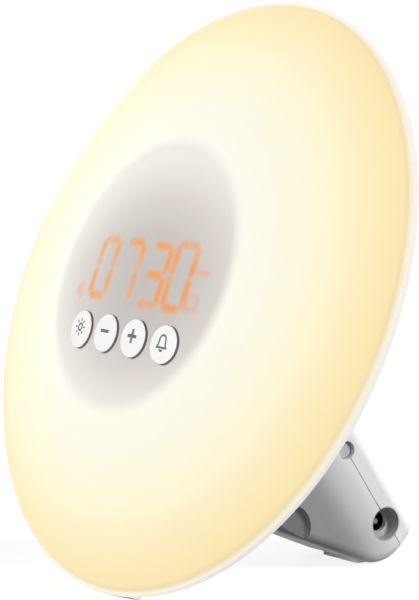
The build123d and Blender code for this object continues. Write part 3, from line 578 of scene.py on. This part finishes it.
# the rim's glow, which fades in towards the disc's plane: partly the lamp's light through the thin rim,
# partly painted light on the rim's band
rimPaintedGlow = {
    "colour": paint(255, 251, 240),
    "body": paint(138, 137, 137),
    "strength": 0.61,
    "band": (-3.5, -0.8),  # out of the disc
}


def shellFinish(settings, paintedGlow):
    # the bowl's white, with a glow on its thin rim: partly the lamp's light through it, partly painted
    # light
    wires, colour = plasticWires("shellWhite", settings)
    share = wires.step(wires.discPlace()[2], *paintedGlow["band"])
    wires.put({
        "Base Color": wires.blend(share, colour, paintedGlow["body"]),
        "Emission Color": paintedGlow["colour"],
        "Emission Strength": wires.sum("MULTIPLY", share, paintedGlow["strength"]),
    })
    return wires.finish


dress(shellFinish(shellWhite, rimPaintedGlow), "rear_housing")

# painted shade on the leg: darker away from its lid, low down by the ground, in its scoops and in its
# recess
legPaintedShade = {
    "corner": (104.85, 9.91),  # back and rise of the upper corner at the leg's tip
    "into": (-0.8261, -0.5635),  # from the leg's back straight into it
    "deepest": 40.0,
    "paintedShades": [  # depth below the back, painted shade as a tone
        (8.0, 1.0),
        (11.0, 0.86),
        (14.0, 0.76),
        (17.0, 0.67),
        (19.5, 0.54),
        (22.0, 0.46),
        (25.0, 0.42),
    ],
    # painted ground shadow: the hull darker low down
    "lowShade": 0.86,
    "lowRise": (3.0, 14.0),  # heights over the ground over which the painted ground shadow fades
    "scoopHalf": (13.4, 12.9),  # from the leg's middle plane
    "scoopMiddle": -59.39,  # up the disc
    "scoopRound": 50.7,  # middle of the round end, behind the disc
    "scoopRadius": (8.9, 8.5),
    # how dark the painted shadow in the scoops is
    "scoopShade": 0.50,
    "recess": (92.468, 13.328),  # back and rise of its middle
    "recessRadius": (5.6, 5.3),
    "recessHalf": (12.4, 12.8),  # from the leg's middle plane
    # how dark the painted shade in the recess is
    "recessShade": 0.64,
}


def recessShare(wires, x, y, z, shading):
    # 1 in the power socket's recess, which only the right flank has, where painted shade darkens it
    ringed = wires.step(wires.reach(y, z, shading["recess"]), *shading["recessRadius"])
    return wires.sum("MULTIPLY", ringed, wires.step(x, *shading["recessHalf"]))


def scoopShare(wires, x, shading):
    # 1 in both flanks' scoops, which run from the rim to a round end, where painted shadow darkens them
    up, out = wires.discPlace()[1:]
    behind = wires.sum("SUBTRACT", wires.sum("MULTIPLY", out, -1.0), shading["scoopRound"])
    past = wires.sum("MAXIMUM", behind, 0.0)
    slotted = wires.step(wires.reach(past, up, (0.0, shading["scoopMiddle"])), *shading["scoopRadius"])
    return wires.sum("MULTIPLY", slotted, wires.step(wires.sum("ABSOLUTE", x), *shading["scoopHalf"]))


def depthShade(wires, y, z, shading):
    # the painted shade by the depth below the leg's back
    parts = [
        wires.sum("MULTIPLY", wires.sum("SUBTRACT", value, start), share)
        for value, start, share in zip((y, z), shading["corner"], shading["into"])
    ]
    stops = [(place, grey(tone)) for place, tone in shading["paintedShades"]]
    return wires.ramp(wires.sum("ADD", *parts), stops, shading["deepest"])


# the leg's white, darkened by painted shade
def legFinish(name, settings, shading, hull):
    wires, colour = plasticWires(name, settings)
    x, y, z = [wires.sum("DIVIDE", value, mm) for value in wires.split(wires.place)]
    paintedShades = [wires.between(recessShare(wires, x, y, z, shading), 1.0, shading["recessShade"])]
    if hull:
        paintedShades += [
            depthShade(wires, y, z, shading),
            wires.between(scoopShare(wires, x, shading), 1.0, shading["scoopShade"]),
            wires.between(wires.step(z, *shading["lowRise"]), shading["lowShade"], 1.0),
        ]
    for tone in paintedShades:
        colour = wires.dim(colour, tone)
    wires.put({"Base Color": colour})
    return wires.finish


dress(legFinish("legWhite", legWhite, legPaintedShade, True), "stand_body")
dress(legFinish("lidWhite", lidWhite, legPaintedShade, False), "stand_back_cover")
print("stage: shells")

# the front keys: white where they face out of the disc, dark grey on their sides, in one row below the
# disc's middle
keys = {
    "face": paint(249, 249, 248),
    "skirt": paint(112, 111, 110),
    "facing": (0.45, 0.75),  # how far a surface turns outwards where the skirt becomes the face
    "drift": 0.97,
    "driftScale": 90.0,
    "driftBand": (0.3, 0.8),
    "grainScale": 3000.0,
    "grainDepth": 0.000015,
    "roughness": (0.32, 0.47),
    "gloss": 0.4,
    "pitch": 14.44,
    "row": -20.3,
    "proud": 0.8,
    "names": ["light", "minus", "plus", "alarm"],
}


def keyFinish(settings):
    wires = Wiring("keyWhite")
    facing = wires.step(wires.normalAlong(discOut), *settings["facing"])
    low, high = settings["driftBand"]
    face = wires.ramp(
        wires.noise(settings["driftScale"]),
        [(low, settings["face"]), (high, shaded(settings["face"], settings["drift"]))],
    )
    grain = wires.noise(settings["grainScale"])
    wires.put({
        "Base Color": wires.blend(facing, settings["skirt"], face),
        "Roughness": wires.between(grain, *settings["roughness"]),
        "Specular IOR Level": settings["gloss"],
    })
    wires.bump(grain, settings["grainDepth"])
    return wires.finish


dress(keyFinish(keys), *["button_" + name for name in keys["names"]])

sideKeyGrey = {
    "colour": paint(196, 195, 197),
    "drift": 0.94,
    "driftScale": 200.0,
    "grainScale": 3000.0,
    "grainDepth": 0.00003,
    "roughness": (0.45, 0.6),
    "gloss": 0.35,
}
dress(plastic("sideKeyGrey", sideKeyGrey), "side_button")

# the signs printed on the front keys
ink = {
    "colour": paint(104, 101, 99),
    "worn": 1.25,
    "wearScale": 1500.0,
    "wearDetail": 3.0,
    "wearBand": (0.4, 0.75),
    "grainScale": 4000.0,
    "roughness": (0.45, 0.65),
    "thick": 0.06,
    "sunk": 0.04,
    "line": 0.62,
    "barLength": 4.3,
    "barWide": 1.0,
    "sharpest": 0.5,  # keeps the mitre of a sharp corner from growing long
    "middle": (-0.35, 0.55),  # the signs' middle, from the key's
    "sunRing": 1.05,
    "sunPoints": 20,
    "sunRays": 8,
    "rayStart": 1.75,
    "rayEnd": 2.75,
    "rayWide": 0.5,
    "strokeSteps": 9,
    "bell": {
        "crownRadius": 1.35,
        "crownRise": 0.8,
        "crownPoints": 9,
        "flare": [(1.45, 0.0), (1.55, -0.7)],  # half width and rise, down to the brim
        "brim": (2.05, -1.6),
        "brimSteps": 7,
        "clapperRadius": 0.7,
        "clapperRise": -1.9,
        "clapperArc": (200, 340),
        "clapperPoints": 6,
    },
}


def inkFinish(settings):
    wires = Wiring("printedGrey")
    tone = settings["colour"]
    low, high = settings["wearBand"]
    wear = wires.noise(settings["wearScale"], settings["wearDetail"])
    wires.put({
        "Base Color": wires.ramp(wear, [(low, tone), (high, shaded(tone, settings["worn"]))]),
        "Roughness": wires.between(wires.noise(settings["grainScale"]), *settings["roughness"]),
    })
    return wires.finish


printedGrey = inkFinish(ink)


def strokeEdges(points, closed, width):
    # the two edges of a stroke at each of its points, mitred where it turns
    count = len(points)
    edges = []
    for index, point in enumerate(points):
        here = Vector(point)
        before = Vector(points[index - 1]) if index or closed else None
        after = Vector(points[(index + 1) % count]) if index < count - 1 or closed else None
        inward = (after - here if before is None else here - before).normalized()
        outward = (here - before if after is None else after - here).normalized()
        along = (inward + outward).normalized()
        across = Vector((-along.y, along.x))
        facing = across.dot(Vector((-inward.y, inward.x)))
        reach = width / 2 / max(ink["sharpest"], facing)
        edges.append((here + across * reach, here - across * reach))
    return edges


def strokeMesh(paths, width):
    # flat strokes of even width, as one bmesh in millimetres, with z 1 on top and z 0 below
    shape = bmesh.new()
    for points, closed in paths:
        edges = strokeEdges(points, closed, width)
        top = [[shape.verts.new((p.x, p.y, 1.0)) for p in pair] for pair in edges]
        low = [[shape.verts.new((p.x, p.y, 0.0)) for p in pair] for pair in edges]
        count = len(points)
        for index in range(count if closed else count - 1):
            after = (index + 1) % count
            a, b, c, d = top[index], top[after], low[index], low[after]
            shape.faces.new((a[0], a[1], b[1], b[0]))
            shape.faces.new((c[1], c[0], d[0], d[1]))
            shape.faces.new((a[1], c[1], d[1], b[1]))
            shape.faces.new((c[0], a[0], b[0], d[0]))
        if not closed:
            shape.faces.new((top[0][1], top[0][0], low[0][0], low[0][1]))
            shape.faces.new((top[-1][0], top[-1][1], low[-1][1], low[-1][0]))
    bmesh.ops.recalc_face_normals(shape, faces=shape.faces)
    return shape


def straight(first, last, count=ink["strokeSteps"]):
    # a straight stroke in several steps, so that it can follow a domed face
    shares = [i / (count - 1) for i in range(count)]
    return [tuple(a + (b - a) * share for a, b in zip(first, last)) for share in shares]


def circlePoints(radius, count, middle=(0, 0), start=0.0, end=360.0):
    # points round a circle, or along an arc between two angles in degrees
    gaps = count if end - start >= 360 else count - 1
    angles = [radians(start + (end - start) * i / gaps) for i in range(count)]
    return [(middle[0] + radius * cos(a), middle[1] + radius * sin(a)) for a in angles]


def bellPaths(bell):
    # a bell's outline: crown, flaring sides, brim and a small clapper
    crown = circlePoints(bell["crownRadius"], bell["crownPoints"], (0, bell["crownRise"]), 0, 180)
    leftSide = [(-half, rise) for half, rise in bell["flare"]]
    rightSide = bell["flare"][::-1]
    half, rise = bell["brim"]
    brim = straight((-half, rise), (half, rise), bell["brimSteps"])
    clapperMiddle = (0, bell["clapperRise"])
    clapper = circlePoints(
        bell["clapperRadius"], bell["clapperPoints"], clapperMiddle, *bell["clapperArc"],
    )
    return [(crown + leftSide + brim + rightSide, True), (clapper, False)]


def rayGroup():
    # boxes in a ring, each turned outwards, with every size as a named input
    group = bpy.data.node_groups.new("sunRays", "GeometryNodeTree")
    face = group.interface
    face.new_socket("Geometry", in_out="OUTPUT", socket_type="NodeSocketGeometry")
    kinds = {
        "Count": "NodeSocketInt",
        "Ring Radius": "NodeSocketFloat",
        "Ray Size": "NodeSocketVector",
        "Finish": "NodeSocketMaterial",
    }
    sockets = {
        name: face.new_socket(name, in_out="INPUT", socket_type=kind) for name, kind in kinds.items()
    }
    given = group.nodes.new("NodeGroupInput")
    ring = group.nodes.new("GeometryNodeMeshCircle")
    box = group.nodes.new("GeometryNodeMeshCube")
    index = group.nodes.new("GeometryNodeInputIndex")
    share = group.nodes.new("ShaderNodeMath")
    turn = group.nodes.new("ShaderNodeMath")
    spin = group.nodes.new("ShaderNodeCombineXYZ")
    spread = group.nodes.new("GeometryNodeInstanceOnPoints")
    whole = group.nodes.new("GeometryNodeRealizeInstances")
    finish = group.nodes.new("GeometryNodeSetMaterial")
    result = group.nodes.new("NodeGroupOutput")
    share.operation = "DIVIDE"
    turn.operation = "MULTIPLY"
    turn.inputs[1].default_value = 2 * pi
    for source, target in (
        (given.outputs["Count"], ring.inputs["Vertices"]),
        (given.outputs["Ring Radius"], ring.inputs["Radius"]),
        (given.outputs["Ray Size"], box.inputs["Size"]),
        (index.outputs[0], share.inputs[0]),
        (given.outputs["Count"], share.inputs[1]),
        (share.outputs[0], turn.inputs[0]),
        (turn.outputs[0], spin.inputs["Z"]),
        (ring.outputs[0], spread.inputs["Points"]),
        (box.outputs["Mesh"], spread.inputs["Instance"]),
        (spin.outputs[0], spread.inputs["Rotation"]),
        (spread.outputs[0], whole.inputs[0]),
        (whole.outputs[0], finish.inputs["Geometry"]),
        (given.outputs["Finish"], finish.inputs["Material"]),
        (finish.outputs[0], result.inputs[0]),
    ):
        group.links.new(source, target)
    return group, {name: socket.identifier for name, socket in sockets.items()}


def rayMesh(settings, finish):
    # the rays of the little sun as a plain mesh, in millimetres round the key's middle
    group, names = rayGroup()
    holder = bpy.data.objects.new("rays", bpy.data.meshes.new("rays"))
    bpy.context.scene.collection.objects.link(holder)
    modifier = holder.modifiers.new("rays", "NODES")
    modifier.node_group = group
    start, end = settings["rayStart"], settings["rayEnd"]
    modifier[names["Count"]] = settings["sunRays"]
    modifier[names["Ring Radius"]] = (start + end) / 2
    modifier[names["Ray Size"]] = (end - start, settings["rayWide"], 1.0)
    modifier[names["Finish"]] = finish
    holder.update_tag()
    seen = holder.evaluated_get(bpy.context.evaluated_depsgraph_get())
    mesh = bpy.data.meshes.new_from_object(seen)
    holder.modifiers.remove(modifier)
    bpy.data.objects.remove(holder)
    for vertex in mesh.vertices:
        vertex.co.z += 0.5  # the boxes stand on z 0, as the strokes do
    return mesh


def layOnKey(shape, index):
    # lays flat strokes on a key's domed face: z 1 is the ink's top, z 0 its underside
    middleX = (index - (len(keys["names"]) - 1) / 2) * keys["pitch"]
    middleUp = keys["row"]
    for vertex in shape.verts:
        x, up, level = vertex.co
        x, up = x + ink["middle"][0], up + ink["middle"][1]
        face = domeRise(hypot(middleX + x, middleUp + up)) + keys["proud"]
        vertex.co = onDisc(middleX + x, middleUp + up, face - ink["sunk"] + level * ink["thick"])


def addPiece(name, shape, finish, body):
    mesh = bpy.data.meshes.new(name)
    shape.to_mesh(mesh)
    shape.free()
    mesh.materials.append(finish)
    piece = bpy.data.objects.new(name, mesh)
    bpy.context.scene.collection.objects.link(piece)
    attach(piece, body)


bar = ink["barLength"] / 2
levelBar = (straight((-bar, 0), (bar, 0)), False)
uprightBar = (straight((0, -bar), (0, bar)), False)
signs = {  # each sign's paths and the width of their line
    "light": ([(circlePoints(ink["sunRing"], ink["sunPoints"]), True)], ink["line"]),
    "minus": ([levelBar], ink["barWide"]),
    "plus": ([levelBar, uprightBar], ink["barWide"]),
    "alarm": (bellPaths(ink["bell"]), ink["line"]),
}
for index, name in enumerate(keys["names"]):
    strokes = strokeMesh(*signs[name])
    if name == "light":
        rays = rayMesh(ink, printedGrey)
        strokes.from_mesh(rays)
        bpy.data.meshes.remove(rays)
    layOnKey(strokes, index)
    addPiece("sign_" + name, strokes, printedGrey, name + "_key")
print("stage: keys and their signs")

# rubber, leads, boards and the power socket, each with the pieces that it is on
footGrey = {
    "colour": paint(226, 225, 227), "drift": 0.9, "driftScale": 300.0, "grainScale": 1800.0,
    "grainDepth": 0.00006, "roughness": (0.7, 0.85), "gloss": 0.25,
    "on": ["rim_foot", "stand_foot"],
}
foamGrey = dict(footGrey, colour=paint(92, 92, 94), grainDepth=0.0001, on=["speaker_gasket"])
socketBlack = {
    "colour": paint(24, 24, 25), "drift": 0.8, "driftScale": 300.0, "grainScale": 2500.0,
    "grainDepth": 0.00003, "roughness": (0.35, 0.5), "gloss": 0.5,
    "on": ["dc_jack_body", "display_module", "controller_chip", "side_switch", "side_plunger"],
}
for name in keys["names"]:
    socketBlack["on"] += ["tact_switch_" + name, "plunger_" + name]
innerWhite = {
    "colour": paint(236, 236, 232), "drift": 0.95, "driftScale": 40.0, "grainScale": 1500.0,
    "grainDepth": 0.00003, "roughness": (0.5, 0.65), "gloss": 0.3,
    "on": ["light_shield", "reflector", "lead_header", "lead_plug"],
}
leadBlack = {
    "colour": paint(30, 30, 31), "drift": 0.85, "driftScale": 400.0, "grainScale": 2500.0,
    "grainDepth": 0.00004, "roughness": (0.45, 0.6), "gloss": 0.35,
    "on": ["lamp_lead", "power_lead", "speaker_lead"],
}
maskGreen = {
    "colour": paint(28, 92, 50), "drift": 0.75, "driftScale": 500.0, "grainScale": 900.0,
    "grainDepth": 0.00004, "roughness": (0.25, 0.4), "gloss": 0.5,
    "on": ["main_pcb", "jack_board"],
}
maskWhite = {
    "colour": paint(232, 232, 226), "drift": 0.93, "driftScale": 500.0, "grainScale": 900.0,
    "grainDepth": 0.00004, "roughness": (0.3, 0.45), "gloss": 0.5,
    "on": ["led_board"],
}
phosphor = {
    "colour": paint(246, 214, 110), "drift": 0.9, "driftScale": 700.0, "grainScale": 3000.0,
    "grainDepth": 0.00002, "roughness": (0.2, 0.3), "gloss": 0.5,
    "on": ["led_emitters"],
}
coneBlack = {
    "colour": paint(34, 34, 36), "drift": 0.75, "driftScale": 800.0, "grainScale": 1500.0,
    "grainDepth": 0.0001, "roughness": (0.8, 0.95), "gloss": 0.2,
    "on": ["speaker_cone"],
}
for name, settings in {
    "footGrey": footGrey,
    "foamGrey": foamGrey,
    "socketBlack": socketBlack,
    "innerWhite": innerWhite,
    "leadBlack": leadBlack,
    "maskGreen": maskGreen,
    "maskWhite": maskWhite,
    "phosphor": phosphor,
    "coneBlack": coneBlack,
}.items():
    dress(plastic(name, settings), *settings["on"])
print("stage: rubber, boards and leads")

# the metals, each with the pieces that it is on
metals = {
    "zincSteel": {
        "colour": paint(196, 196, 198), "dull": 0.8, "scale": 1200.0, "roughness": (0.28, 0.45),
        "on": [
            "board_screws", "reflector_screws", "stand_screws", "cover_screws", "jack_board_screws",
            "speaker_screws", "speaker_frame",
        ],
    },
    "nickel": {
        "colour": paint(150, 147, 142), "dull": 0.8, "scale": 1500.0, "roughness": (0.3, 0.45),
        "on": ["dc_jack_pin"],
    },
    "canAluminium": {
        "colour": paint(205, 206, 208), "dull": 0.85, "scale": 900.0, "roughness": (0.3, 0.45),
        "on": ["backup_capacitor"],
    },
    "ferrite": {
        "colour": paint(52, 52, 54), "dull": 0.7, "scale": 1400.0, "roughness": (0.5, 0.7),
        "on": ["speaker_magnet"],
    },
}
metalPatches = {
    "detail": 4.0,
    "band": (0.35, 0.65),
    "depth": 0.00001,
}


def metal(name, settings):
    # dull and bright patches, rougher where they are brighter
    wires = Wiring(name)
    patch = wires.noise(settings["scale"], metalPatches["detail"])
    tone = settings["colour"]
    low, high = metalPatches["band"]
    wires.put({
        "Base Color": wires.ramp(patch, [(low, shaded(tone, settings["dull"])), (high, tone)]),
        "Metallic": 1.0,
        "Roughness": wires.between(patch, *settings["roughness"]),
    })
    wires.bump(patch, metalPatches["depth"])
    return wires.finish


for name, settings in metals.items():
    dress(metal(name, settings), *settings["on"])

# the lit figures themselves, behind the dome
amber = {
    "colour": paint(246, 140, 62),
    "bright": paint(255, 176, 96),
    "spotScale": 900.0,
    "spotDetail": 1.0,
    "spotBand": (0.3, 0.7),
    "ownLight": 0.8,
    "roughness": 0.4,
}


def amberFinish(settings):
    wires = Wiring("amberLit")
    low, high = settings["spotBand"]
    spots = wires.ramp(
        wires.noise(settings["spotScale"], settings["spotDetail"]),
        [(low, settings["colour"]), (high, settings["bright"])],
    )
    wires.put({
        "Base Color": spots,
        "Emission Color": spots,
        "Emission Strength": settings["ownLight"],
        "Roughness": settings["roughness"],
    })
    return wires.finish


dress(amberFinish(amber), "display_digits")
print("stage: metals and figures")

print("stage: done")
